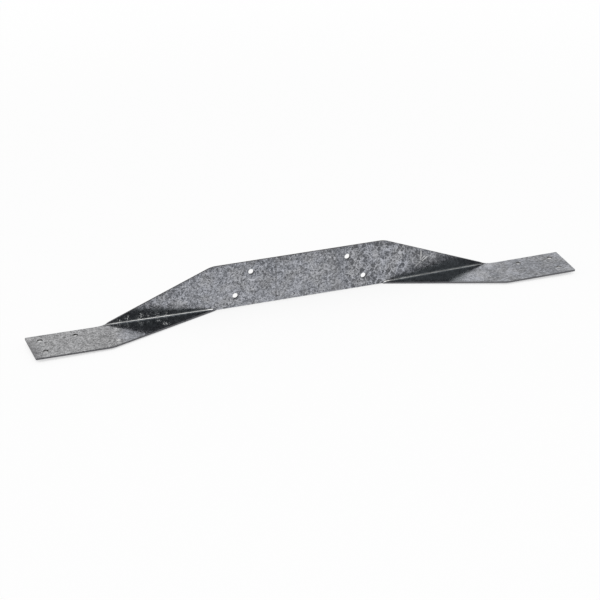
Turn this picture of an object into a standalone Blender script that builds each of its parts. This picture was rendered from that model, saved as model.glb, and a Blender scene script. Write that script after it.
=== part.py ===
"""Hurricane tie: one strap of galvanised sheet steel, punched flat and then folded.

The flat blank has a straight web, a jog at each side that drops by nearly the strap's
width, and a leg at each end. One slanting fold in each jog turns the legs from the
upright web to lie level in front of it. Only the half at +X is drawn, and a mirror
gives the other.

Flat positions are (out, up, depth): out from the middle of the web, up from the web's
lower edge, and depth back from the visible face. Sizes beside a fold are to its sharp
corner, as on a shop drawing. Units are metres, with +Z up and the visible face at -Y.
"""

import math

import bmesh
import bpy
from mathutils import Vector

MM = 0.001

# Sheet
SHEET_THICKNESS = 1.2 * MM
STRAP_WIDTH = 31.75 * MM

# Flat blank
WEB_LENGTH = 123.6 * MM
JOG_RUN = 78.4 * MM
JOG_DROP = 30.5 * MM
LEG_LENGTH = 51.2 * MM
WEB_UPPER_RADIUS = 18.0 * MM
WEB_LOWER_RADIUS = 4.0 * MM
LEG_BACK_RADIUS = 28.0 * MM
LEG_FRONT_RADIUS = 12.0 * MM
LEG_END_RADIUS = 0.6 * MM

# Fold
FOLD_ANGLE = math.radians(89.0)
FOLD_RADIUS = 1.2 * MM
FOLD_HEIGHT_AT_WEB = 1.0 * MM
FOLD_RUN_IN = 3.5 * MM
FOLD_RUN_IN_LEAD = 1.0 * MM

# Nail holes: the first web row is from the upper edge, the second from the lower
HOLE_DIAMETER = 3.8 * MM
UPPER_WEB_HOLE_OUT = 34.5 * MM
UPPER_WEB_HOLE_EDGE = 7.6 * MM
LOWER_WEB_HOLE_OUT = 46.1 * MM
LOWER_WEB_HOLE_EDGE = 8.3 * MM
LEG_HOLE_TO_END = 8.5 * MM
LEG_HOLE_TO_BACK = 7.1 * MM
LEG_HOLE_TO_FRONT = 8.6 * MM
LEG_HOLE_PITCH = 23.8 * MM

# Facets
ARC_STEP = math.radians(3.5)
END_ARC_STEPS = 3
HOLE_SIDES = 32
FOLD_STEPS = 8
RUN_IN_STEPS = 8
WELD = 0.02 * MM
STRAIGHT = math.radians(0.1)

# Finish
ZINC_COLOUR = (0.30, 0.305, 0.32, 1.0)
ZINC_ROUGHNESS = 0.35
ZINC_METALLIC = 1.0

FOLD_SETBACK = FOLD_RADIUS * math.tan(FOLD_ANGLE / 2)
WEB_CORNER_OUT = WEB_LENGTH / 2
LEG_CORNER_OUT = WEB_CORNER_OUT + JOG_RUN
LEG_END_OUT = LEG_CORNER_OUT + LEG_LENGTH
LEG_BACK_UP = STRAP_WIDTH - JOG_DROP
LEG_FRONT_UP = -JOG_DROP


class FoldLine:
    """The fold's sharp corner on the visible face, as a line drawn on the flat blank."""

    def __init__(self):
        self.start = Vector((WEB_CORNER_OUT, FOLD_HEIGHT_AT_WEB))
        end = Vector((LEG_CORNER_OUT, LEG_BACK_UP + FOLD_SETBACK))
        self.along = (end - self.start).normalized()
        self.across = Vector((self.along.y, -self.along.x))

    def angle_at(self, along):
        """The fold's turn, which runs in over a short stretch before the web's corner."""
        share = min(max((along + FOLD_RUN_IN_LEAD) / FOLD_RUN_IN + 0.5, 0.0), 1.0)
        return FOLD_ANGLE * share * share * (3 - 2 * share)


def turned(across, depth, angle):
    """Where a point beside the fold line goes: (across, forward) in the fold's section."""
    setback = FOLD_RADIUS * math.tan(angle / 2)
    if across <= -setback:
        return across, -depth
    if across >= setback:
        forward = across * math.sin(angle) - depth * math.cos(angle)
        return across * math.cos(angle) + depth * math.sin(angle), forward
    swept = angle * (across + setback) / (2 * setback)
    radius = FOLD_RADIUS + depth
    return radius * math.sin(swept) - setback, FOLD_RADIUS - radius * math.cos(swept)


def folded(point, line):
    """The place in the finished part of a point of the flat blank."""
    flat = Vector((point.x, point.z)) - line.start
    along = flat.dot(line.along)
    across, forward = turned(flat.dot(line.across), point.y, line.angle_at(along))
    place = line.start + line.along * along + line.across * across
    return Vector((place.x, -forward, place.y))


def rounded_corner(corner, before, after, radius, steps):
    """The points of the arc that rounds a corner between its two neighbours."""
    arriving = (corner - before).normalized()
    leaving = (after - corner).normalized()
    turn = arriving.angle_signed(leaving)
    tangent = radius * math.tan(abs(turn) / 2)
    side = Vector((-arriving.y, arriving.x)) * (-1 if turn > 0 else 1)
    first = corner - arriving * tangent
    points = []
    for step in range(steps + 1):
        swept = abs(turn) * step / steps
        reach = arriving * math.sin(swept) + side * (1 - math.cos(swept))
        points.append(first + reach * radius)
    return points


def blank_outline():
    """The outline of the blank's half, from the foot of the middle line round to its top."""
    foot = Vector((0.0, 0.0))
    web_low = Vector((WEB_CORNER_OUT, 0.0))
    leg_front = Vector((LEG_CORNER_OUT, LEG_FRONT_UP))
    end_front = Vector((LEG_END_OUT, LEG_FRONT_UP))
    end_back = Vector((LEG_END_OUT, LEG_BACK_UP))
    leg_back = Vector((LEG_CORNER_OUT, LEG_BACK_UP))
    web_high = Vector((WEB_CORNER_OUT, STRAP_WIDTH))
    head = Vector((0.0, STRAP_WIDTH))
    corners = [foot, web_low, leg_front, end_front, end_back, leg_back, web_high, head]
    radii = [WEB_LOWER_RADIUS, LEG_FRONT_RADIUS, LEG_END_RADIUS]
    radii += [LEG_END_RADIUS, LEG_BACK_RADIUS, WEB_UPPER_RADIUS]
    jog_steps = math.ceil(math.atan2(JOG_DROP, JOG_RUN) / ARC_STEP)
    steps = [jog_steps, jog_steps, END_ARC_STEPS, END_ARC_STEPS, jog_steps, jog_steps]
    points = [foot]
    for place, radius, count in zip(range(1, len(corners) - 1), radii, steps):
        before, corner, after = corners[place - 1 : place + 2]
        points += rounded_corner(corner, before, after, radius, count)
    return points + [head]


def hole_centres():
    """The centres of the nail holes in the blank's half: two in the web, three in the leg."""
    end_row = LEG_END_OUT - LEG_HOLE_TO_END
    back_row = LEG_BACK_UP - LEG_HOLE_TO_BACK
    return [
        Vector((UPPER_WEB_HOLE_OUT, STRAP_WIDTH - UPPER_WEB_HOLE_EDGE)),
        Vector((LOWER_WEB_HOLE_OUT, LOWER_WEB_HOLE_EDGE)),
        Vector((end_row, back_row)),
        Vector((end_row, LEG_FRONT_UP + LEG_HOLE_TO_FRONT)),
        Vector((end_row - LEG_HOLE_PITCH, back_row)),
    ]


def hole_outline(centre):
    """The points round one nail hole."""
    radius = HOLE_DIAMETER / 2
    angles = [math.tau * side / HOLE_SIDES for side in range(HOLE_SIDES)]
    return [centre + radius * Vector((math.cos(a), math.sin(a))) for a in angles]


def add_loop(bm, points):
    """Draws a closed loop on the blank's visible face and returns its edges."""
    verts = [bm.verts.new((point.x, 0.0, point.y)) for point in points]
    return [bm.edges.new(pair) for pair in zip(verts, verts[1:] + verts[:1])]


def score(bm, line, place, direction):
    """Splits the faces beyond the web along a straight line, so that they can bend there."""
    first = WEB_CORNER_OUT - FOLD_RUN_IN
    faces = [f for f in bm.faces if max(v.co.x for v in f.verts) > first]
    edges = {edge for face in faces for edge in face.edges}
    verts = {vert for face in faces for vert in face.verts}
    flat = line.start + place
    bmesh.ops.bisect_plane(
        bm,
        geom=[*verts, *edges, *faces],
        plane_co=(flat.x, 0.0, flat.y),
        plane_no=(direction.x, 0.0, direction.y),
        dist=WELD,
    )


def punched_blank(line):
    """The flat half blank with its holes, scored where it will bend, and its thickness."""
    bm = bmesh.new()
    edges = add_loop(bm, blank_outline())
    for centre in hole_centres():
        edges += add_loop(bm, hole_outline(centre))
    bmesh.ops.triangle_fill(bm, use_beauty=True, edges=edges, normal=(0.0, -1.0, 0.0))
    bmesh.ops.dissolve_limit(bm, angle_limit=STRAIGHT, verts=bm.verts, edges=bm.edges)
    for step in range(FOLD_STEPS + 1):
        across = FOLD_SETBACK * (2 * step / FOLD_STEPS - 1)
        score(bm, line, line.across * across, line.across)
    for step in range(RUN_IN_STEPS + 1):
        along = FOLD_RUN_IN * (step / RUN_IN_STEPS - 0.5) - FOLD_RUN_IN_LEAD
        score(bm, line, line.along * along, line.along)
    bmesh.ops.triangulate(bm, faces=bm.faces)
    thicken(bm)
    return bm


def thicken(bm):
    """Gives the sheet its thickness, back from the visible face, open at the middle line."""
    grown = bmesh.ops.extrude_face_region(bm, geom=bm.faces[:], use_keep_orig=True)
    back = [item for item in grown["geom"] if isinstance(item, bmesh.types.BMVert)]
    bmesh.ops.translate(bm, verts=back, vec=(0.0, SHEET_THICKNESS, 0.0))
    bmesh.ops.recalc_face_normals(bm, faces=bm.faces)
    middle = [f for f in bm.faces if max(v.co.x for v in f.verts) < WELD]
    bmesh.ops.delete(bm, geom=middle, context="FACES")


def seat(bm):
    """Puts the origin under the part's middle, at the height of its lowest point."""
    depths = [vert.co.y for vert in bm.verts]
    lowest = min(vert.co.z for vert in bm.verts)
    middle = (min(depths) + max(depths)) / 2
    bmesh.ops.translate(bm, verts=bm.verts, vec=(0.0, -middle, -lowest))


def galvanised_steel():
    """Zinc-coated sheet: a cool light grey metal with a soft gloss."""
    material = bpy.data.materials.new("galvanised_steel")
    material.use_nodes = True
    shader = material.node_tree.nodes["Principled BSDF"]
    shader.inputs["Base Color"].default_value = ZINC_COLOUR
    shader.inputs["Roughness"].default_value = ZINC_ROUGHNESS
    shader.inputs["Metallic"].default_value = ZINC_METALLIC
    return material


def make_strap():
    """The folded strap: the half blank is bent at its fold and mirrored."""
    line = FoldLine()
    bm = punched_blank(line)
    for vert in bm.verts:
        vert.co = folded(vert.co, line)
    seat(bm)
    mesh = bpy.data.meshes.new("strap")
    bm.to_mesh(mesh)
    bm.free()
    mesh.shade_smooth()
    mesh.set_sharp_from_angle(angle=math.radians(30.0))
    mesh.materials.append(galvanised_steel())
    strap = bpy.data.objects.new("strap", mesh)
    bpy.context.scene.collection.objects.link(strap)
    mirror = strap.modifiers.new("other_half", "MIRROR")
    mirror.merge_threshold = WELD
    return strap


def clear_scene():
    """Removes what the scene holds before the part is made."""
    for item in list(bpy.data.objects):
        bpy.data.objects.remove(item)


clear_scene()
make_strap()
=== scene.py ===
"""Looks of the hurricane tie: its spangled zinc sheet, sheared edges and dents, in a pale studio.

The strap is made from a copy of the frame's folded sheet. Its loose triangles are merged,
its sheared edges are eased and the small dents of handling are pressed into it. Units are
metres, in the frame's own axes: +X along the strap, -Y towards the legs' free edges, +Z up.
"""

from __future__ import annotations

import logging
import math
from dataclasses import dataclass, field
from enum import Enum
from typing import ClassVar

import bpy
from mathutils import Matrix, Vector
from mathutils.bvhtree import BVHTree


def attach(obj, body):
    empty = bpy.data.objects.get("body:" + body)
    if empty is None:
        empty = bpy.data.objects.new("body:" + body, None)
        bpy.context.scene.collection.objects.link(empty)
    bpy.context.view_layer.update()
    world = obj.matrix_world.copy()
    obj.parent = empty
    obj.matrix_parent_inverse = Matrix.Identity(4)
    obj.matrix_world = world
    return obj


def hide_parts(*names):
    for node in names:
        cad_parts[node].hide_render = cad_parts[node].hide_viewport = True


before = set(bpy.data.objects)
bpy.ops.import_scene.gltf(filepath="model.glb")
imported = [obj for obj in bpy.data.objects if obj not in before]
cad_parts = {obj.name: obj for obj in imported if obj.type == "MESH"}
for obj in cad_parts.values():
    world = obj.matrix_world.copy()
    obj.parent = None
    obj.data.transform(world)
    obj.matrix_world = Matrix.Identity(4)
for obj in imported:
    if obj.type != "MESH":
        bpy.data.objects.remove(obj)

MM = 0.001
LOG = logging.getLogger("hurricane_tie")

Colour = tuple[float, float, float]
Place = tuple[float, float, float]
Span = tuple[float, float]
Socket = bpy.types.NodeSocket
Value = Socket | float

RISING = (0.0, 1.0)
FALLING = (1.0, 0.0)

# Finer layers of a noise
SMOOTH = 1.0
USUAL = 2.0
ROUGH = 3.0

# Lines of the sheet that its finish and dents follow
WEB_FRONT = 16.32 * MM
WEB_TOP = 32.3 * MM
WEB_CORNER = 61.8 * MM
JOG_FALL = 0.389
WEB_FACE = (0.0, -1.0, 0.0)
LEG_FACE = (0.0, 0.0, 1.0)

# Colours of marks in the zinc, and of painted highlights and shade
BARED = (0.66, 0.665, 0.67)
DENT_RIM_HIGHLIGHT = (0.60, 0.61, 0.65)
BURR_AND_PAINTED_GLINT = (0.80, 0.80, 0.80)
DARKENING = (0.11, 0.11, 0.115)


class Surface(Enum):
    """The strap's kinds of surface, as the index of each one's finish."""

    SHEET = 0
    SHEARED = 1
    RUBBED = 2
    PUNCHED = 3


class Stamp(Enum):
    """What left a dent: a blunt round nose, or the rim of a round head."""

    NOSE = "nose"
    RIM = "rim"


def on_web(out: float, up: float) -> Place:
    """A place on the web's front face, from millimetres."""
    return (out * MM, WEB_FRONT, up * MM)


def on_leg(out: float, back: float, up: float) -> Place:
    """A place on the top of a leg, from millimetres."""
    return (out * MM, back * MM, up * MM)


def rgba(colour: Colour) -> tuple[float, float, float, float]:
    """A colour with full cover."""
    return (*colour, 1.0)


class NodeSheet:
    """A node tree under construction, with short calls that add and join nodes."""

    def __init__(self, tree: bpy.types.NodeTree) -> None:
        """Starts on the tree of a material or of the world."""
        self.tree = tree

    def add(self, kind: str, **settings: object) -> bpy.types.Node:
        """Adds a node.

        Args:
            kind: The node's Blender type name.
            **settings: Properties of the node.

        Returns:
            The new node.
        """
        node = self.tree.nodes.new(kind)
        for name, value in settings.items():
            setattr(node, name, value)
        return node

    def feed(self, socket: Socket, value: Value | tuple[float, ...]) -> None:
        """Gives a socket a constant, or joins it to another node's output.

        Args:
            socket: The input socket.
            value: An output socket, a number or a tuple of numbers.
        """
        if isinstance(value, Socket):
            self.tree.links.new(value, socket)
        else:
            socket.default_value = value

    def place(self) -> Socket:
        """The coordinates of a point in its object's own frame."""
        return self.add("ShaderNodeTexCoord").outputs["Object"]

    def axes(self, place: Socket) -> tuple[Socket, Socket, Socket]:
        """Takes coordinates apart.

        Args:
            place: The coordinates.

        Returns:
            The sockets of X, Y and Z.
        """
        parts = self.add("ShaderNodeSeparateXYZ")
        self.feed(parts.inputs[0], place)
        return parts.outputs["X"], parts.outputs["Y"], parts.outputs["Z"]

    def maths(self, operation: str, first: Value, second: Value = 0.0) -> Socket:
        """One step of arithmetic.

        Args:
            operation: The Math node's operation.
            first: The first number or socket.
            second: The second number or socket.

        Returns:
            The result's socket.
        """
        node = self.add("ShaderNodeMath", operation=operation)
        self.feed(node.inputs[0], first)
        self.feed(node.inputs[1], second)
        return node.outputs[0]

    def product(self, first: Value, *others: Value) -> Value:
        """Multiplies values.

        Args:
            first: The first number or socket.
            *others: The other numbers or sockets.

        Returns:
            The result's socket.
        """
        result = first
        for value in others:
            result = self.maths("MULTIPLY", result, value)
        return result

    def spread(self, value: Value, before: Span, after: Span = RISING) -> Socket:
        """Maps one range of a value smoothly on another, held at both ends.

        Args:
            value: The socket to map.
            before: The range that the value has.
            after: The range that the result has.

        Returns:
            The result's socket.
        """
        node = self.add("ShaderNodeMapRange", interpolation_type="SMOOTHSTEP")
        self.feed(node.inputs["Value"], value)
        node.inputs["From Min"].default_value = before[0]
        node.inputs["From Max"].default_value = before[1]
        node.inputs["To Min"].default_value = after[0]
        node.inputs["To Max"].default_value = after[1]
        return node.outputs["Result"]

    def noise_node(self, place: Socket, waves: float, detail: float = USUAL) -> bpy.types.Node:
        """A noise texture at a place.

        Args:
            place: The coordinates.
            waves: Waves to the metre.
            detail: How many finer layers it has.

        Returns:
            The noise node.
        """
        node = self.add("ShaderNodeTexNoise")
        self.feed(node.inputs["Vector"], place)
        node.inputs["Scale"].default_value = waves
        node.inputs["Detail"].default_value = detail
        return node

    def noise(self, place: Socket, waves: float, detail: float = USUAL) -> Socket:
        """The value of a noise texture at a place, as noise_node makes it."""
        return self.noise_node(place, waves, detail).outputs["Fac"]

    def cells(self, place: Socket, count: float, feature: str) -> bpy.types.Node:
        """A cell texture at a place.

        Args:
            place: The coordinates.
            count: Cells to the metre.
            feature: The Voronoi node's feature.

        Returns:
            The Voronoi node.
        """
        node = self.add("ShaderNodeTexVoronoi", feature=feature)
        self.feed(node.inputs["Vector"], place)
        node.inputs["Scale"].default_value = count
        return node

    def blend(self, share: Value, first: Value, second: Value) -> Socket:
        """Mixes two numbers.

        Args:
            share: How much of the second one shows, from 0 to 1.
            first: The first number or socket.
            second: The second number or socket.

        Returns:
            The result's socket.
        """
        node = self.add("ShaderNodeMix", data_type="FLOAT")
        self.feed(node.inputs[0], share)
        self.feed(node.inputs[2], first)
        self.feed(node.inputs[3], second)
        return node.outputs[0]

    def tint(self, share: Value, first: Socket | Colour, second: Socket | Colour) -> Socket:
        """Mixes two colours.

        Args:
            share: How much of the second one shows, from 0 to 1.
            first: The first colour or socket.
            second: The second colour or socket.

        Returns:
            The result's socket.
        """
        node = self.add("ShaderNodeMix", data_type="RGBA")
        self.feed(node.inputs[0], share)
        for socket, colour in ((node.inputs[6], first), (node.inputs[7], second)):
            self.feed(socket, rgba(colour) if isinstance(colour, tuple) else colour)
        return node.outputs[2]

    def vector(
        self, operation: str, first: Socket | Place, second: Socket | Place
    ) -> bpy.types.Node:
        """One step of vector arithmetic.

        Args:
            operation: The Vector Math node's operation.
            first: The first vector or socket.
            second: The second vector or socket.

        Returns:
            The Vector Math node.
        """
        node = self.add("ShaderNodeVectorMath", operation=operation)
        self.feed(node.inputs[0], first)
        self.feed(node.inputs[1], second)
        return node

    def summed(self, *terms: tuple[Value, float]) -> Value:
        """Adds up several values, each with its weight.

        Args:
            *terms: Pairs of a number or socket and its weight.

        Returns:
            The result's socket.
        """
        total: Value = 0.0
        for value, weight in terms:
            node = self.add("ShaderNodeMath", operation="MULTIPLY_ADD")
            self.feed(node.inputs[0], value)
            self.feed(node.inputs[1], weight)
            self.feed(node.inputs[2], total)
            total = node.outputs[0]
        return total

    def emboss(
        self, shader: bpy.types.Node, height: Socket, strength: float, depth: float
    ) -> None:
        """Gives a shader a bump.

        Args:
            shader: The shader node.
            height: The relief, from 0 to 1.
            strength: How much of the bump shows.
            depth: The relief's depth.
        """
        bump = self.add("ShaderNodeBump")
        bump.inputs["Strength"].default_value = strength
        bump.inputs["Distance"].default_value = depth
        self.feed(bump.inputs["Height"], height)
        self.feed(shader.inputs["Normal"], bump.outputs["Normal"])


def new_material(name: str) -> tuple[bpy.types.Material, NodeSheet, bpy.types.Node]:
    """Makes a material with one plain shader.

    Args:
        name: The material's name.

    Returns:
        The material, its node sheet and its shader node.
    """
    material = bpy.data.materials.new(name)
    material.use_nodes = True
    return material, NodeSheet(material.node_tree), material.node_tree.nodes["Principled BSDF"]


@dataclass(frozen=True)
class Tones:
    """The darkest and the lightest colour of a finish."""

    dark: Colour
    light: Colour

    def at(self, sheet: NodeSheet, share: Value) -> Socket:
        """The colour at a share of the way from the darkest to the lightest."""
        return sheet.tint(share, self.dark, self.light)


@dataclass(frozen=True)
class Mottle:
    """A noise, in waves to the metre, spread from one range over another."""

    waves: float
    before: Span
    after: Span = RISING

    def value(self, sheet: NodeSheet, place: Socket) -> Socket:
        """The mottle's value at a place."""
        return sheet.spread(sheet.noise(place, self.waves), self.before, self.after)


@dataclass(frozen=True)
class Stroke:
    """A straight stroke on the sheet, at its full strength on its line and gone beside it."""

    start: Place
    end: Place
    half_width: float
    strength: float

    def mark(self, sheet: NodeSheet, place: Socket) -> Socket:
        """Draws the stroke.

        Args:
            sheet: The node sheet.
            place: The coordinates.

        Returns:
            A value that is the stroke's strength on its line and 0 away from it.
        """
        run = Vector(self.end) - Vector(self.start)
        away = sheet.vector("SUBTRACT", place, self.start).outputs[0]
        dot = sheet.vector("DOT_PRODUCT", away, tuple(run / run.length_squared))
        share = sheet.maths("MAXIMUM", sheet.maths("MINIMUM", dot.outputs["Value"], 1.0), 0.0)
        reach = sheet.add("ShaderNodeVectorMath", operation="SCALE")
        reach.inputs[0].default_value = run
        sheet.feed(reach.inputs["Scale"], share)
        gap = sheet.vector("DISTANCE", away, reach.outputs[0]).outputs["Value"]
        return sheet.spread(gap, (0.0, self.half_width), (self.strength, 0.0))


@dataclass(frozen=True)
class Scratch(Stroke):
    """A stroke that colours the zinc: a scratch line, a darker smear, a burr, or a painted
    highlight or shade.
    """

    colour: Colour


@dataclass(frozen=True)
class Spot:
    """A round spot on the sheet that fades out from a core."""

    middle: Place
    radius: float
    core: ClassVar[float] = 0.3

    def cover(self, sheet: NodeSheet, place: Socket) -> Socket:
        """Draws the spot.

        Args:
            sheet: The node sheet.
            place: The coordinates.

        Returns:
            A value that is 1 in the spot's core and 0 away from it.
        """
        gap = sheet.vector("DISTANCE", place, self.middle).outputs["Value"]
        return sheet.spread(gap, (self.core * self.radius, self.radius), FALLING)


@dataclass(frozen=True)
class Patch(Spot):
    """A spot where the sheet is lighter or darker than the rest, or bluer."""

    tone: float
    blueness: float = 0.0


@dataclass
class Whereabouts:
    """Where a point of the sheet lies, as the sockets that the zinc's patterns share."""

    place: Socket
    warped: Socket
    x: Socket
    y: Socket
    z: Socket
    out: Socket
    wander: Socket
    along: Socket


@dataclass(frozen=True)
class SpangledZinc:
    """Hot-dip zinc: a fine spangle, with larger and patchier crystals on the web's right."""

    # Colours and gloss
    grey: Tones = Tones((0.100, 0.100, 0.102), (0.500, 0.500, 0.505))
    blue: Tones = Tones((0.096, 0.101, 0.113), (0.481, 0.495, 0.542))
    # The painted reflection's colours beside each fold
    reflection_green: Tones = Tones((0.090, 0.096, 0.102), (0.465, 0.492, 0.520))
    speck_colour: Colour = (0.86, 0.87, 0.86)
    glossiest: float = 0.10
    dullest: float = 0.20
    dulled_to: float = 0.38
    speck_roughness: float = 0.65
    relief: float = 0.02 * MM
    relief_share: float = 0.4

    # Crystals to the metre, their outlines' width as a share, and how far they are stirred
    fine_cells: float = 900.0
    large_cells: float = 270.0
    small_cells: float = 560.0
    outline_width: float = 0.13
    warp_waves: float = 420.0
    warp: float = 1.4 * MM
    wander_waves: float = 90.0
    wander_reach: float = 26 * MM

    # Filaments: their waves to the metre, and their width as a share of the noise
    short_waves: float = 560.0
    short_width: float = 0.09
    thin_waves: float = 330.0
    thin_width: float = 0.05
    filament_twist: float = 1.5

    # Weights in the fine spangle, then in the patchy one
    fine_tone: float = 0.45
    fine_filament: float = 0.45
    patchy_size: Mottle = Mottle(170.0, (0.44, 0.56))
    blot_waves: float = 260.0
    patchy_tone: float = 0.52
    patchy_outline: float = 0.44
    patchy_filament: float = 0.46
    patchy_blot: float = 0.7
    patchy_level: float = -0.46

    # Along the strap: the patchy spangle's start, thinning and end, and the right leg's own
    patchy_from: Span = (22 * MM, 34 * MM)
    patchy_thins: Span = (74 * MM, 92 * MM)
    patchy_thinned: float = 0.3
    patchy_to: Span = (116 * MM, 136 * MM)
    right_leg_from: Span = (122 * MM, 140 * MM)
    soft_waves: float = 560.0
    soft_contrast: float = 1.7
    soft_level: float = -0.45
    softened: float = 0.6

    # What is added to the spangle's tone
    grain_waves: float = 1500.0
    grain: float = 0.5
    cloud_waves: float = 38.0
    cloud: float = 0.3
    duller_from: Span = (5 * MM, 50 * MM)
    duller: float = 0.085
    leg_cloud: float = 0.6
    tones: Span = (0.35, 1.25)

    # Painted shade: a darker band under the web's upper edge
    rim_width: Span = (0.5 * MM, 5.5 * MM)
    rim_tone: float = 0.12
    web_only: Span = (14 * MM, 16 * MM)

    # Painted reflection: calmer and greener colour beside each fold, where web and leg mirror
    # each other
    shade_from: Span = (64 * MM, 70 * MM)
    shade_to: Span = (112 * MM, 124 * MM)
    shade_shift: float = 5 * MM
    fold_start: float = 66 * MM
    fold_rise: float = 0.17
    shade_height: Span = (1.5 * MM, 3.5 * MM)
    calm_from: Span = (-60 * MM, 60 * MM)
    calm_tone: Span = (0.68, 0.90)
    calmed: float = 0.6

    # Blueness, breaks in the strokes of colour, specks, and how patchily the zinc is dulled
    hue: Mottle = Mottle(110.0, (0.36, 0.60), (0.5, 0.9))
    left_leg_to: Span = (-138 * MM, -122 * MM)
    left_leg_hue: float = 0.1
    breaks: Mottle = Mottle(210.0, (0.36, 0.52), (0.55, 1.0))
    speck: Mottle = Mottle(1000.0, (0.50, 0.60))
    patchwork: Mottle = Mottle(300.0, (0.35, 0.60), (0.3, 1.0))
    front_only: Span = (16.6 * MM, 17.2 * MM)

    # Scratch lines, darker smears, a burr, and painted highlights and shade
    colour_strokes: tuple[Scratch, ...] = (
        # Fine bright lines on the web's right
        Scratch(on_web(88.9, 21.2), on_web(88.9, 16.7), 0.65 * MM, 0.9, BARED),
        Scratch(on_web(88.9, 16.7), on_web(88.5, 13.7), 0.6 * MM, 0.8, BARED),
        Scratch(on_web(93.5, 15.3), on_web(90.1, 12.7), 0.6 * MM, 0.9, BARED),
        Scratch(on_web(91.5, 16.1), on_web(89.3, 13.9), 0.55 * MM, 0.8, BARED),
        Scratch(on_web(88.3, 12.1), on_web(84.8, 9.4), 0.6 * MM, 0.7, BARED),
        Scratch(on_web(75.6, 26.3), on_web(73.1, 22.6), 0.6 * MM, 0.7, BARED),
        # Painted highlight along the lower rim of the web's dent
        Scratch(on_web(-36.3, 20.4), on_web(-35.3, 19.0), 0.9 * MM, 0.7, DENT_RIM_HIGHLIGHT),
        Scratch(on_web(-35.3, 19.0), on_web(-33.0, 18.5), 1.3 * MM, 1.0, DENT_RIM_HIGHLIGHT),
        Scratch(on_web(-33.0, 18.5), on_web(-30.9, 19.8), 1.1 * MM, 0.9, DENT_RIM_HIGHLIGHT),
        # The burr where the right fold starts
        Scratch(on_web(61.6, 1.4), on_web(64.8, 1.6), 1.2 * MM, 1.0, BURR_AND_PAINTED_GLINT),
        # The left leg's dents, with painted glints, and painted shade on both sides of the first
        Scratch(on_leg(-134.6, -8.3, 2.4), on_leg(-133.8, -8.3, 2.4), 2.0 * MM, 1.0, BURR_AND_PAINTED_GLINT),
        Scratch(on_leg(-136.4, -7.8, 2.4), on_leg(-136.4, -8.8, 2.4), 1.5 * MM, 1.0, DARKENING),
        Scratch(on_leg(-131.8, -9.2, 2.4), on_leg(-131.8, -8.2, 2.4), 1.5 * MM, 1.0, DARKENING),
        Scratch(on_leg(-131.8, 8.4, 2.6), on_leg(-131.1, 8.8, 2.6), 1.4 * MM, 0.9, BURR_AND_PAINTED_GLINT),
        # Darker along the left end, and in two lines across the web
        Scratch(on_leg(-191.4, 4.0, 2.9), on_leg(-191.4, -16.0, 2.6), 8.0 * MM, 0.75, DARKENING),
        Scratch(on_web(-16.7, 28.9), on_web(-17.3, 0.6), 0.9 * MM, 0.6, DARKENING),
        Scratch(on_web(3.3, 28.6), on_web(2.8, 0.6), 0.9 * MM, 0.5, DARKENING),
    )
    patches: tuple[Patch, ...] = (
        Patch(on_web(74.0, 12.0), 5 * MM, 0.10, 0.5),
        Patch(on_web(86.0, 13.0), 12 * MM, -0.14),
        Patch(on_web(-98.0, 12.5), 12 * MM, -0.10),
        Patch(on_leg(122.0, -1.0, 2.3), 14 * MM, 0.16),
        # Darker round the web's holes
        Patch(on_web(-34.0, 24.2), 3.0 * MM, -0.5),
        Patch(on_web(35.0, 24.2), 3.0 * MM, -0.5),
        Patch(on_web(-45.6, 8.4), 3.0 * MM, -0.5),
        Patch(on_web(46.6, 8.4), 3.0 * MM, -0.5),
    )
    dulled: tuple[Stroke, ...] = (
        Stroke(on_web(70.0, 5.0), on_web(114.0, 14.5), 7.0 * MM, 1.0),
        Stroke(on_web(-68.0, 3.5), on_web(-120.0, 13.5), 4.5 * MM, 0.8),
        Stroke(on_leg(-134.0, 9.0, 2.6), on_leg(-117.0, -10.0, 2.0), 5.5 * MM, 0.8),
        Stroke(on_leg(127.0, 11.0, 2.6), on_leg(104.0, -3.5, 2.0), 5.5 * MM, 0.8),
    )
    specked: tuple[Spot, ...] = (
        Spot(on_web(-126.8, 4.9), 2.5 * MM),
        Spot(on_web(-121.7, 5.4), 2.9 * MM),
        Spot(on_web(-112.6, 5.0), 3.4 * MM),
        Spot(on_web(-106.8, 5.6), 2.7 * MM),
        Spot(on_web(-101.0, 4.4), 2.4 * MM),
        Spot(on_web(-95.2, 4.2), 2.0 * MM),
        Spot(on_leg(-98.2, 5.4, 2.0), 4.0 * MM),
        Spot(on_leg(-101.2, 11.2, 2.2), 2.4 * MM),
        Spot(on_leg(-113.5, 11.4, 2.4), 2.2 * MM),
    )

    def whereabouts(self, sheet: NodeSheet) -> Whereabouts:
        """Works out where a point lies.

        Args:
            sheet: The node sheet.

        Returns:
            The sockets of its coordinates.
        """
        place = sheet.place()
        x, y, z = sheet.axes(place)
        stirring = sheet.noise_node(place, self.warp_waves).outputs["Color"]
        warped = sheet.add("ShaderNodeVectorMath", operation="MULTIPLY_ADD")
        sheet.feed(warped.inputs[0], sheet.vector("SUBTRACT", stirring, (0.5,) * 3).outputs[0])
        warped.inputs[1].default_value = (self.warp,) * 3
        sheet.feed(warped.inputs[2], place)
        wander = sheet.maths("SUBTRACT", sheet.noise(place, self.wander_waves), 0.5)
        along = sheet.summed((x, 1.0), (wander, self.wander_reach))
        out = sheet.maths("ABSOLUTE", x)
        return Whereabouts(place, warped.outputs[0], x, y, z, out, wander, along)

    def crystal_tones(self, sheet: NodeSheet, place: Socket, cells: float) -> Socket:
        """The tone of each crystal of one size.

        Args:
            sheet: The node sheet.
            place: The warped coordinates.
            cells: Crystals to the metre.

        Returns:
            The tone's socket, from 0 to 1.
        """
        parts = sheet.add("ShaderNodeSeparateColor")
        sheet.feed(parts.inputs[0], sheet.cells(place, cells, "F1").outputs["Color"])
        return parts.outputs[0]

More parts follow.
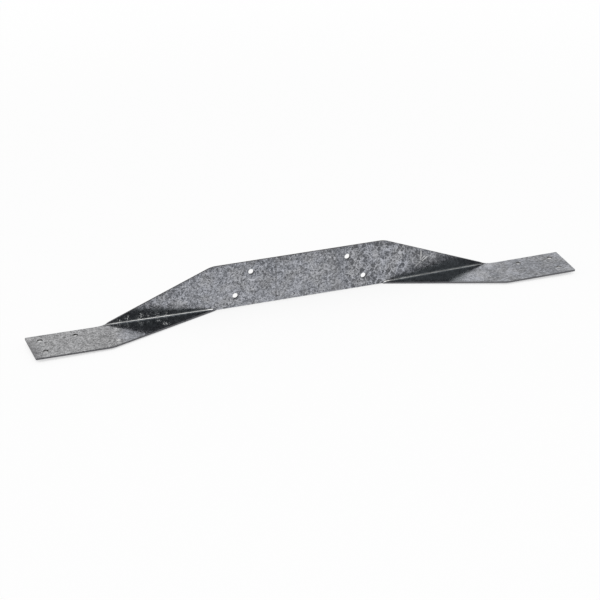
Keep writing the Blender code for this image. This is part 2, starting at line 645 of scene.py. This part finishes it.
    def crystal_outlines(self, sheet: NodeSheet, place: Socket, cells: float) -> Socket:
        """The outlines of the crystals of one size.

        Args:
            sheet: The node sheet.
            place: The warped coordinates.
            cells: Crystals to the metre.

        Returns:
            A value that rises to 1 on each outline.
        """
        gap = sheet.cells(place, cells, "DISTANCE_TO_EDGE").outputs["Distance"]
        return sheet.spread(gap, (0.0, self.outline_width), FALLING)

    def filaments(self, sheet: NodeSheet, place: Socket, waves: float, width: float) -> Socket:
        """Bright wandering filaments.

        Args:
            sheet: The node sheet.
            place: The coordinates.
            waves: Waves to the metre.
            width: How far a filament spreads, as a share of the noise.

        Returns:
            A value that is 1 along each filament.
        """
        noise = sheet.noise_node(place, waves, SMOOTH)
        noise.inputs["Distortion"].default_value = self.filament_twist
        ridge = sheet.maths("ABSOLUTE", sheet.maths("SUBTRACT", noise.outputs["Fac"], 0.5))
        return sheet.spread(ridge, (0.0, width), FALLING)

    def fine_spangle(self, sheet: NodeSheet, at: Whereabouts) -> Socket:
        """The spangle of the left and the middle: short filaments over small crystals.

        Args:
            sheet: The node sheet.
            at: Where the point lies.

        Returns:
            The spangle's tone.
        """
        tone = self.crystal_tones(sheet, at.warped, self.fine_cells)
        filament = self.filaments(sheet, at.place, self.short_waves, self.short_width)
        return sheet.summed((tone, self.fine_tone), (filament, self.fine_filament))

    def patchy_spangle(self, sheet: NodeSheet, at: Whereabouts) -> Socket:
        """The spangle of the web's right: crystals of two sizes among thin filaments.

        Args:
            sheet: The node sheet.
            at: Where the point lies.

        Returns:
            The spangle's tone.
        """
        small = self.patchy_size.value(sheet, at.place)
        tone = sheet.blend(
            small,
            self.crystal_tones(sheet, at.warped, self.large_cells),
            self.crystal_tones(sheet, at.warped, self.small_cells),
        )
        outline = sheet.blend(
            small,
            self.crystal_outlines(sheet, at.warped, self.large_cells),
            self.crystal_outlines(sheet, at.warped, self.small_cells),
        )
        filament = self.filaments(sheet, at.place, self.thin_waves, self.thin_width)
        return sheet.summed(
            (tone, self.patchy_tone),
            (outline, self.patchy_outline),
            (filament, self.patchy_filament),
            (sheet.noise(at.place, self.blot_waves), self.patchy_blot),
            (1.0, self.patchy_level),
        )

    def spangle(self, sheet: NodeSheet, at: Whereabouts, right_leg: Socket) -> Socket:
        """The whole strap's spangle: fine, then patchy, and softer on the right leg.

        Args:
            sheet: The node sheet.
            at: Where the point lies.
            right_leg: A value that is 1 on the right leg.

        Returns:
            The spangle's tone.
        """
        patchy = sheet.product(
            sheet.spread(at.along, self.patchy_from),
            sheet.spread(at.along, self.patchy_thins, (1.0, self.patchy_thinned)),
            sheet.spread(at.along, self.patchy_to, FALLING),
        )
        spangle = sheet.blend(
            patchy, self.fine_spangle(sheet, at), self.patchy_spangle(sheet, at)
        )
        soft = sheet.summed(
            (sheet.noise(at.place, self.soft_waves, ROUGH), self.soft_contrast),
            (1.0, self.soft_level),
        )
        return sheet.blend(sheet.product(right_leg, self.softened), spangle, soft)

    def rim(self, sheet: NodeSheet, at: Whereabouts) -> Socket:
        """Painted shade: the darker band along the web's upper edge.

        Args:
            sheet: The node sheet.
            at: Where the point lies.

        Returns:
            How much darker the sheet is there.
        """
        beyond = sheet.maths("MAXIMUM", sheet.maths("SUBTRACT", at.out, WEB_CORNER), 0.0)
        fall = sheet.product(beyond, JOG_FALL)
        below = sheet.summed((1.0, WEB_TOP), (fall, -1.0), (at.z, -1.0))
        return sheet.product(
            sheet.spread(below, self.rim_width, (self.rim_tone, 0.0)),
            sheet.spread(at.y, self.web_only),
        )

    def shade(self, sheet: NodeSheet, at: Whereabouts) -> Socket:
        """The zone beside each fold where web and leg mirror each other, given the colour of a
        painted reflection.

        Args:
            sheet: The node sheet.
            at: Where the point lies.

        Returns:
            A value that is 1 in the zone.
        """
        near_end = sheet.summed((at.out, 1.0), (at.y, -1.0), (1.0, self.shade_shift))
        lift = sheet.summed(
            (at.z, 1.0), (at.out, -self.fold_rise), (1.0, self.fold_rise * self.fold_start)
        )
        return sheet.product(
            sheet.spread(near_end, self.shade_to, FALLING),
            sheet.spread(lift, self.shade_height, FALLING),
            sheet.spread(at.out, self.shade_from),
        )

    def tone_and_hue(
        self, sheet: NodeSheet, at: Whereabouts, spangle: Socket, right_leg: Socket
    ) -> tuple[Socket, Socket]:
        """The sheet's tone and blueness, with its grain, clouds, rim and patches.

        Args:
            sheet: The node sheet.
            at: Where the point lies.
            spangle: The spangle's tone.
            right_leg: A value that is 1 on the right leg.

        Returns:
            The tone and the blueness.
        """
        tone = sheet.summed(
            (spangle, 1.0),
            (sheet.noise(at.place, self.grain_waves, ROUGH), self.grain),
            (sheet.noise(at.place, self.cloud_waves, ROUGH), self.cloud),
            (sheet.spread(at.along, self.duller_from, (0.0, self.duller)), -1.0),
            (sheet.product(right_leg, at.wander), self.leg_cloud),
        )
        tone = sheet.maths("SUBTRACT", tone, self.rim(sheet, at))
        hue = sheet.product(
            self.hue.value(sheet, at.place),
            sheet.spread(at.along, self.left_leg_to, (self.left_leg_hue, 1.0)),
        )
        for patch in self.patches:
            cover = patch.cover(sheet, at.place)
            tone = sheet.summed((tone, 1.0), (cover, patch.tone))
            if patch.blueness:
                hue = sheet.summed((hue, 1.0), (cover, patch.blueness))
        return tone, hue

    def scratched(
        self, sheet: NodeSheet, at: Whereabouts, colour: Socket, facing: Socket
    ) -> Socket:
        """Adds the strokes to the colour: scratch lines, darker smears, a burr, and painted
        highlights and shade.

        Args:
            sheet: The node sheet.
            at: Where the point lies.
            colour: The sheet's colour without them.
            facing: A value that is 0 on the web's back.

        Returns:
            The colour with them.
        """
        broken = sheet.product(self.breaks.value(sheet, at.place), facing)
        for scratch in self.colour_strokes:
            line = sheet.product(scratch.mark(sheet, at.place), broken)
            colour = sheet.tint(line, colour, scratch.colour)
        return colour

    def specks(self, sheet: NodeSheet, at: Whereabouts, facing: Socket) -> Socket:
        """The paler, rougher specks in the left fold.

        Args:
            sheet: The node sheet.
            at: Where the point lies.
            facing: A value that is 0 on the web's back.

        Returns:
            A value that is 1 in each speck.
        """
        where: Value = 0.0
        for spot in self.specked:
            where = sheet.maths("MAXIMUM", where, spot.cover(sheet, at.place))
        return sheet.product(where, facing, self.speck.value(sheet, at.place))

    def roughness(self, sheet: NodeSheet, at: Whereabouts, spangle: Socket) -> Socket:
        """The sheet's roughness, by its spangle and where it is dulled.

        Args:
            sheet: The node sheet.
            at: Where the point lies.
            spangle: The spangle's tone.

        Returns:
            The roughness.
        """
        rough = sheet.blend(spangle, self.glossiest, self.dullest)
        patchwork = self.patchwork.value(sheet, at.place)
        for band in self.dulled:
            dull = sheet.product(band.mark(sheet, at.place), patchwork)
            rough = sheet.blend(dull, rough, self.dulled_to)
        return rough

    def material(self) -> bpy.types.Material:
        """Makes the finish.

        Returns:
            The material of the sheet's two faces.
        """
        material, sheet, shader = new_material("spangled_zinc")
        at = self.whereabouts(sheet)
        right_leg = sheet.spread(at.along, self.right_leg_from)
        spangle = self.spangle(sheet, at, right_leg)
        tone, hue = self.tone_and_hue(sheet, at, spangle, right_leg)
        # Painted reflection: beside each fold the tone is calmed and the colour turned greener
        shade = self.shade(sheet, at)
        calm = sheet.spread(at.x, self.calm_from, self.calm_tone)
        tone = sheet.blend(sheet.product(shade, self.calmed), tone, calm)

        share = sheet.spread(tone, self.tones)
        zinc = sheet.tint(hue, self.grey.at(sheet, share), self.blue.at(sheet, share))
        colour = sheet.tint(shade, zinc, self.reflection_green.at(sheet, share))
        facing = sheet.spread(at.y, self.front_only, FALLING)
        colour = self.scratched(sheet, at, colour, facing)
        specks = self.specks(sheet, at, facing)
        sheet.feed(shader.inputs["Base Color"], sheet.tint(specks, colour, self.speck_colour))
        rough = sheet.blend(specks, self.roughness(sheet, at, spangle), self.speck_roughness)
        sheet.feed(shader.inputs["Roughness"], rough)
        shader.inputs["Metallic"].default_value = 1.0
        sheet.emboss(shader, tone, self.relief_share, self.relief)
        return material


@dataclass(frozen=True)
class PressedZinc:
    """The zinc of the fold, rubbed smooth and pale by the press."""

    rubbed: Tones = Tones((0.10, 0.10, 0.096), (0.57, 0.575, 0.56))
    polished: Colour = (0.95, 0.95, 0.93)
    rubbing: Mottle = Mottle(130.0, (0.35, 0.62), (0.5, 1.0))
    rubbed_to: Span = (130 * MM, 139 * MM)
    polished_from: Span = (54 * MM, 57 * MM)
    polished_to: Span = (64 * MM, 67 * MM)
    roughness: float = 0.12

    def material(self) -> bpy.types.Material:
        """Makes the finish.

        Returns:
            The material of the bend, on its inside and its outside.
        """
        material, sheet, shader = new_material("pressed_zinc")
        place = sheet.place()
        out = sheet.maths("ABSOLUTE", sheet.axes(place)[0])
        share = sheet.product(
            self.rubbing.value(sheet, place), sheet.spread(out, self.rubbed_to, FALLING)
        )
        start = sheet.product(
            sheet.spread(out, self.polished_to, FALLING), sheet.spread(out, self.polished_from)
        )
        colour = sheet.tint(start, self.rubbed.at(sheet, share), self.polished)
        sheet.feed(shader.inputs["Base Color"], colour)
        shader.inputs["Metallic"].default_value = 1.0
        shader.inputs["Roughness"].default_value = self.roughness
        return material


@dataclass(frozen=True)
class ShearedSteel:
    """The cut edges: bare steel with smears of zinc, in fine strokes through the thickness, and a
    painted reflection that lightens them on the right.
    """

    tones: Tones = Tones((0.045, 0.043, 0.045), (0.15, 0.15, 0.16))
    strokes: float = 900.0
    drawn_to: Span = (5 * MM, 10 * MM)
    drawn: float = 0.22
    # Painted reflection: the edges lighter on the right, where they mirror the floor
    edge_reflection_from: Span = (92 * MM, 104 * MM)
    edge_reflection: float = 0.4
    smears: Span = (0.45, 0.75)
    roughness: float = 0.5
    relief: float = 0.03 * MM
    relief_share: float = 0.6

    def material(self) -> bpy.types.Material:
        """Makes the finish.

        Returns:
            The material of the sheared edges.
        """
        material, sheet, shader = new_material("sheared_steel")
        place = sheet.place()
        x, _, z = sheet.axes(place)
        strokes = sheet.noise(place, self.strokes, ROUGH)
        zinc = sheet.summed(
            (strokes, 1.0),
            (sheet.spread(z, self.drawn_to, (self.drawn, 0.0)), 1.0),
            (sheet.spread(x, self.edge_reflection_from, (0.0, self.edge_reflection)), 1.0),
        )
        colour = self.tones.at(sheet, sheet.spread(zinc, self.smears))
        sheet.feed(shader.inputs["Base Color"], colour)
        shader.inputs["Metallic"].default_value = 1.0
        shader.inputs["Roughness"].default_value = self.roughness
        sheet.emboss(shader, strokes, self.relief_share, self.relief)
        return material


@dataclass(frozen=True)
class PunchedWall:
    """The walls of the nail holes: torn steel, darkened to near black in the web as painted
    shade, paler in the legs.
    """

    # Painted shade: the web's walls near black
    in_web: Tones = Tones((0.018, 0.018, 0.020), (0.060, 0.060, 0.064))
    in_leg: Tones = Tones((0.10, 0.10, 0.10), (0.40, 0.40, 0.40))
    tears: Mottle = Mottle(700.0, (0.4, 0.7))
    leg_height: Span = (4 * MM, 6 * MM)
    paler_from: Span = (0.0, 60 * MM)
    paler: float = 0.5
    roughness: float = 0.6

    def material(self) -> bpy.types.Material:
        """Makes the finish.

        Returns:
            The material of the holes' walls.
        """
        material, sheet, shader = new_material("punched_wall")
        place = sheet.place()
        x, _, z = sheet.axes(place)
        torn = self.tears.value(sheet, place)
        right = sheet.spread(x, self.paler_from, (0.0, self.paler))
        colour = sheet.tint(
            sheet.spread(z, self.leg_height, FALLING),
            self.in_web.at(sheet, torn),
            self.in_leg.at(sheet, sheet.maths("ADD", torn, right)),
        )
        sheet.feed(shader.inputs["Base Color"], colour)
        shader.inputs["Metallic"].default_value = 1.0
        shader.inputs["Roughness"].default_value = self.roughness
        return material


@dataclass(frozen=True)
class Dent:
    """A small dent of handling, pressed into one face of the sheet."""

    stamp: Stamp
    place: Place
    facing: Place
    radius: float
    depth: float
    tilt: float = math.radians(8.0)
    nose_rings: int = 5
    rim_sides: int = 64

    def tool(self) -> bpy.types.Object:
        """Models what struck the sheet, at its deepest.

        Returns:
            The tool.
        """
        bpy.ops.object.select_all(action="DESELECT")
        out = Vector(self.facing)
        if self.stamp is Stamp.NOSE:
            middle = Vector(self.place) + out * (self.radius - self.depth)
            bpy.ops.mesh.primitive_ico_sphere_add(
                subdivisions=self.nose_rings, radius=self.radius, location=middle
            )
            return bpy.context.active_object
        turn = out.to_track_quat("Z", "Y").to_matrix() @ Matrix.Rotation(self.tilt, 3, "X")
        lowest = self.radius * math.sin(self.tilt)
        middle = Vector(self.place) + out * (self.radius + lowest - self.depth)
        bpy.ops.mesh.primitive_cylinder_add(
            vertices=self.rim_sides,
            radius=self.radius,
            depth=2 * self.radius,
            location=middle,
            rotation=turn.to_euler(),
        )
        return bpy.context.active_object

    def press(self, piece: bpy.types.Object) -> None:
        """Cuts the dent into the piece.

        Args:
            piece: The strap, which is left selected and active.
        """
        tool = self.tool()
        bpy.ops.object.select_all(action="DESELECT")
        piece.select_set(True)
        bpy.context.view_layer.objects.active = piece
        cut = piece.modifiers.new("dent", "BOOLEAN")
        cut.operation = "DIFFERENCE"
        cut.object = tool
        bpy.ops.object.modifier_apply(modifier=cut.name)
        bpy.data.objects.remove(tool)


@dataclass
class Strap:
    """The folded strap, from the frame's sheet."""

    name: str = "galvanised_strap"
    node: str = "strap"
    body: str = "root"
    slot: str = "galvanised_steel"

    # Merging and easing
    weld: float = 0.1 * MM
    sliver: float = 0.01 * MM
    straight: float = math.radians(0.1)
    edge_ease: float = 0.22 * MM
    edge_rings: int = 2
    edge_angle: float = math.radians(50.0)
    flat_weight: int = 100

    # Telling surfaces apart: through the sheet, across a hole, and on the fold
    skin: float = 0.012 * MM
    through: float = 1.56 * MM
    hole_reach: float = 4.2 * MM
    bent: float = 0.45

    zinc: SpangledZinc = field(default_factory=SpangledZinc)
    sheared: ShearedSteel = field(default_factory=ShearedSteel)
    pressed: PressedZinc = field(default_factory=PressedZinc)
    punched: PunchedWall = field(default_factory=PunchedWall)
    dents: tuple[Dent, ...] = (
        Dent(Stamp.RIM, on_web(-33.4, 21.9), WEB_FACE, 3.4 * MM, 0.25 * MM),
        Dent(Stamp.NOSE, on_leg(-134.0, -8.0, 2.45), LEG_FACE, 1.6 * MM, 0.45 * MM),
        Dent(Stamp.NOSE, on_leg(-131.4, 8.9, 2.7), LEG_FACE, 1.3 * MM, 0.3 * MM),
    )

    def build(self) -> bpy.types.Object:
        """Models the strap and dresses it.

        Returns:
            The finished piece.
        """
        piece = self.merged_sheet()
        for dent in self.dents:
            dent.press(piece)
        self.dress(piece)
        self.ease_edges(piece)
        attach(piece, self.body)
        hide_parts(self.node)
        return piece

    def merged_sheet(self) -> bpy.types.Object:
        """Makes one closed shell from a copy of the frame's loose triangles.

        Returns:
            The new piece, selected and active.
        """
        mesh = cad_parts[self.node].data.copy()
        mesh.name = self.name
        mesh.materials.clear()
        piece = bpy.data.objects.new(self.name, mesh)
        bpy.context.scene.collection.objects.link(piece)
        bpy.ops.object.select_all(action="DESELECT")
        piece.select_set(True)
        bpy.context.view_layer.objects.active = piece
        bpy.ops.mesh.customdata_custom_splitnormals_clear()
        bpy.ops.object.mode_set(mode="EDIT")
        bpy.ops.mesh.select_all(action="SELECT")
        bpy.ops.mesh.remove_doubles(threshold=self.weld)
        bpy.ops.mesh.dissolve_degenerate(threshold=self.sliver)
        bpy.ops.mesh.select_all(action="SELECT")
        bpy.ops.mesh.dissolve_limited(angle_limit=self.straight)
        bpy.ops.mesh.normals_make_consistent(inside=False)
        bpy.ops.object.mode_set(mode="OBJECT")
        return piece

    def surface_of(self, face: bpy.types.MeshPolygon, tree: BVHTree) -> Surface:
        """Tells which kind of surface a face is.

        A face of the sheet has its other side one thickness behind it, and a sheared edge
        has not. A hole's wall has the wall's other side close in front of it.

        Args:
            face: The face.
            tree: All the strap's faces.

        Returns:
            The face's kind of surface.
        """
        inward, outward = -face.normal, face.normal
        behind = face.center + inward * self.skin
        if tree.ray_cast(behind, inward, self.through)[0] is not None:
            bent = -face.normal.y * face.normal.z > self.bent
            return Surface.RUBBED if bent else Surface.SHEET
        ahead = face.center + outward * self.skin
        if tree.ray_cast(ahead, outward, self.hole_reach)[0] is not None:
            return Surface.PUNCHED
        return Surface.SHEARED

    def dress(self, piece: bpy.types.Object) -> None:
        """Gives each face the finish of its kind of surface.

        Args:
            piece: The strap.
        """
        for finish in (self.zinc, self.sheared, self.pressed, self.punched):
            piece.data.materials.append(finish.material())
        tree = BVHTree.FromPolygons(
            [v.co.copy() for v in piece.data.vertices],
            [tuple(p.vertices) for p in piece.data.polygons],
        )
        for face in piece.data.polygons:
            face.material_index = self.surface_of(face, tree).value

    def darken_rims(self, piece: bpy.types.Object) -> None:
        """Gives a hole's wall finish, with its painted shade, to the sheared faces that touch it.

        Args:
            piece: The strap.
        """
        faces = piece.data.polygons
        sheared, punched = Surface.SHEARED.value, Surface.PUNCHED.value
        walls = {v for face in faces if face.material_index == punched for v in face.vertices}
        for face in faces:
            if face.material_index == sheared and walls.intersection(face.vertices):
                face.material_index = punched

    def ease_edges(self, piece: bpy.types.Object) -> None:
        """Rounds the sheared corners slightly and smooths the fold.

        Args:
            piece: The strap, which is selected and active.
        """
        bevel = piece.modifiers.new("eased", "BEVEL")
        bevel.width = self.edge_ease
        bevel.segments = self.edge_rings
        bevel.limit_method = "ANGLE"
        bevel.angle_limit = self.edge_angle
        bevel.material = Surface.SHEARED.value
        bpy.ops.object.modifier_apply(modifier=bevel.name)
        for _ in range(self.edge_rings):
            self.darken_rims(piece)
        bpy.ops.object.shade_smooth_by_angle(angle=self.edge_angle)
        even = piece.modifiers.new("even", "WEIGHTED_NORMAL")
        even.keep_sharp = True
        even.weight = self.flat_weight
        bpy.ops.object.modifier_apply(modifier=even.name)


@dataclass
class Studio:
    """A pale floor under soft light, with a dimmer room in front of the object."""

    floor_half: float = 6.0
    floor_colour: Colour = (0.9, 0.9, 0.9)
    floor_glow: float = 0.88
    fade: Span = (0.35, 0.9)

    # Painted shadow: how open to the sky the floor is, what its glow sinks to there, and where it
    # lies under a leg
    contact: float = 10 * MM
    shelter_samples: int = 2
    contact_open: Span = (0.04, 0.2)
    contact_glow: float = 0.55
    leg_open: Span = (0.1, 0.9)
    leg_glow: float = 0.4
    leg_from: Span = (130 * MM, 140 * MM)
    leg_to: Span = (186 * MM, 190 * MM)
    leg_front: Span = (-10 * MM, -7 * MM)

    # The room's strength behind the object and in front of it, and the way to the front
    room_back: float = 1.0
    room_front: float = 0.32
    front: Place = (0.31, -0.86, 0.40)
    front_edge: Span = (0.45, 0.86)

    softbox_width: float = 1.5
    softbox_depth: float = 0.8
    softbox_place: Place = (-0.15, -0.72, 1.6)
    softbox_power: float = 5.6

    def seen_straight(self, sheet: NodeSheet) -> Socket:
        """A value that is 1 where the camera, a gloss or a clear piece shows a surface.

        Args:
            sheet: The node sheet.

        Returns:
            The value's socket.
        """
        path = sheet.add("ShaderNodeLightPath").outputs
        shown = sheet.maths("MAXIMUM", path["Is Camera Ray"], path["Is Glossy Ray"])
        return sheet.maths("MAXIMUM", shown, path["Is Transmission Ray"])

    def glow(self, sheet: NodeSheet) -> Socket:
        """How much the floor glows where it is seen: dimmed as painted shadow near the strap and
        under its legs.

        Args:
            sheet: The node sheet.

        Returns:
            The glow, as a share of white light.
        """
        place = sheet.place()
        reach = sheet.add("ShaderNodeVectorMath", operation="LENGTH")
        sheet.feed(reach.inputs[0], place)
        glow = sheet.spread(reach.outputs["Value"], self.fade, (self.floor_glow, 1.0))
        shelter = sheet.add("ShaderNodeAmbientOcclusion", samples=self.shelter_samples)
        shelter.inputs["Distance"].default_value = self.contact
        x, y, _ = sheet.axes(place)
        out = sheet.maths("ABSOLUTE", x)
        under_leg = sheet.product(
            sheet.spread(out, self.leg_from),
            sheet.spread(y, self.leg_front),
            sheet.spread(out, self.leg_to, FALLING),
        )
        open_sky = sheet.blend(
            under_leg,
            sheet.spread(shelter.outputs["AO"], self.contact_open, (self.contact_glow, 1.0)),
            sheet.spread(shelter.outputs["AO"], self.leg_open, (self.leg_glow, 1.0)),
        )
        return sheet.product(glow, open_sky, self.seen_straight(sheet))

    def floor(self) -> bpy.types.Object:
        """Lays the floor, which shows nearly white and keeps the object's shadow.

        Returns:
            The floor.
        """
        bpy.ops.object.select_all(action="DESELECT")
        bpy.ops.mesh.primitive_plane_add(size=2 * self.floor_half, location=(0.0, 0.0, 0.0))
        floor = bpy.context.active_object
        floor.name = "studio_floor"
        material, sheet, shader = new_material("floor_paper")
        shader.inputs["Base Color"].default_value = rgba(self.floor_colour)
        shader.inputs["Roughness"].default_value = 1.0
        shader.inputs["Specular IOR Level"].default_value = 0.0
        white = sheet.add("ShaderNodeEmission")
        mixed = sheet.add("ShaderNodeMixShader")
        sheet.feed(mixed.inputs[0], self.glow(sheet))
        sheet.feed(mixed.inputs[1], shader.outputs[0])
        sheet.feed(mixed.inputs[2], white.outputs[0])
        sheet.feed(sheet.tree.nodes["Material Output"].inputs["Surface"], mixed.outputs[0])
        floor.data.materials.append(material)
        return floor

    def room(self) -> bpy.types.World:
        """Makes the room: pale behind the object and dimmer in front of it.

        Returns:
            The world.
        """
        world = bpy.data.worlds.new("studio_room")
        world.use_nodes = True
        bpy.context.scene.world = world
        sheet = NodeSheet(world.node_tree)
        background = world.node_tree.nodes["Background"]
        towards = sheet.add("ShaderNodeTexCoord").outputs["Generated"]
        facing = sheet.add("ShaderNodeVectorMath", operation="DOT_PRODUCT")
        sheet.feed(facing.inputs[0], towards)
        facing.inputs[1].default_value = Vector(self.front).normalized()
        dimmed = (self.room_back, self.room_front)
        room = sheet.spread(facing.outputs["Value"], self.front_edge, dimmed)
        path = sheet.add("ShaderNodeLightPath")
        strength = sheet.blend(path.outputs["Is Camera Ray"], room, 1.0)
        background.inputs["Color"].default_value = rgba((1.0, 1.0, 1.0))
        sheet.feed(background.inputs["Strength"], strength)
        return world

    def softbox(self) -> bpy.types.Object:
        """Hangs the large lamp over the object.

        Returns:
            The lamp.
        """
        data = bpy.data.lights.new("softbox", "AREA")
        data.shape = "RECTANGLE"
        data.size = self.softbox_width
        data.size_y = self.softbox_depth
        data.energy = self.softbox_power
        lamp = bpy.data.objects.new("softbox", data)
        lamp.location = self.softbox_place
        bpy.context.scene.collection.objects.link(lamp)
        return lamp

    def build(self) -> None:
        """Sets up the floor, the room, the lamp and the plain view transform."""
        self.floor()
        self.room()
        self.softbox()
        bpy.context.scene.view_settings.view_transform = "Standard"


@dataclass(frozen=True)
class Viewpoint:
    """The camera, where a pinhole model of the photograph puts it."""

    place: Place = (-0.399257, -1.169967, 0.573567)
    azimuth: float = math.radians(-18.5938)
    elevation: float = math.radians(24.6997)
    roll: float = math.radians(1.248)
    lens: float = 120.965
    sensor: float = 36.0

    def build(self) -> bpy.types.Object:
        """Makes the camera and gives it to the scene.

        Returns:
            The camera.
        """
        level = math.cos(self.elevation)
        across, ahead = math.cos(self.azimuth), math.sin(self.azimuth)
        back = Vector((ahead * level, -across * level, math.sin(self.elevation)))
        right = Vector((across, ahead, 0.0))
        up = back.cross(right)
        turned_right = right * math.cos(self.roll) - up * math.sin(self.roll)
        turned_up = right * math.sin(self.roll) + up * math.cos(self.roll)
        data = bpy.data.cameras.new("camera")
        data.lens = self.lens
        data.sensor_width = self.sensor
        camera = bpy.data.objects.new("camera", data)
        turn = Matrix((turned_right, turned_up, back)).transposed().to_4x4()
        camera.matrix_world = Matrix.Translation(self.place) @ turn
        bpy.context.scene.collection.objects.link(camera)
        bpy.context.scene.camera = camera
        return camera


def main() -> None:
    """Builds the strap, its studio and the camera."""
    logging.basicConfig(level=logging.INFO, format="%(name)s: %(message)s")
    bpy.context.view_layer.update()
    piece = Strap().build()
    LOG.info("%s: %d faces", piece.name, len(piece.data.polygons))
    Studio().build()
    Viewpoint().build()
    bpy.context.view_layer.update()


if __name__ == "__main__":
    main()
